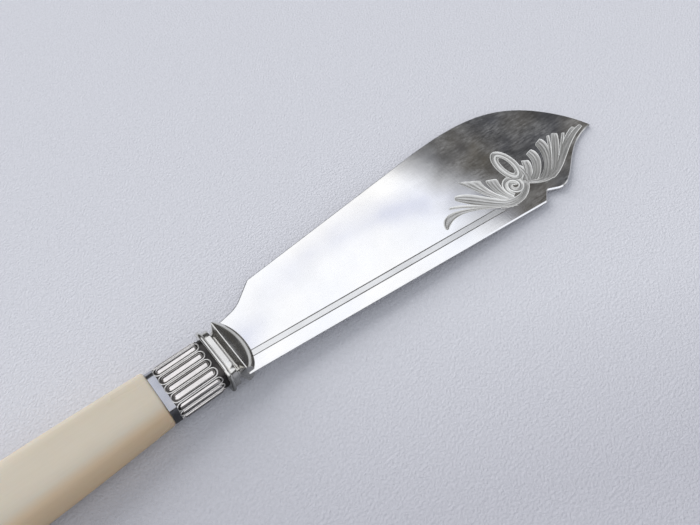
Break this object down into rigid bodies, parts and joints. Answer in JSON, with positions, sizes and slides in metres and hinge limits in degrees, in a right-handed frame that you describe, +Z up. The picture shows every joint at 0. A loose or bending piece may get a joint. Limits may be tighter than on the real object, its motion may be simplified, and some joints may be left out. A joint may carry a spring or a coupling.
{
  "type": "fish server",
  "caption": "Broad fish-serving knife with an engraved plated blade, a domed bolster, a lobed ferrule and an ivory handle",
  "frame": {"origin": "middle of the box's base, on the surface that the server lies on", "axes": "+X runs along the server from the butt of the handle to the point of the blade, +Y is the side of the long curved edge, +Z is up, out of the engraved face; the server noses down by 2.2 degrees onto its flange and its point, as it lies at rest"},
  "size_m": [0.3234, 0.0558, 0.0223],
  "materials": {
    "blade_plate": "polished",
    "bolster_plate": "polished",
    "ferrule_plate": "polished",
    "ivory": "satin",
    "resin": "matte"
  },
  "bodies": {
    "root": {"blade": "blade_plate", "bolster": "bolster_plate", "ferrule": "ferrule_plate", "handle": "ivory", "tang_cement": "resin"}
  },
  "joints": []
}
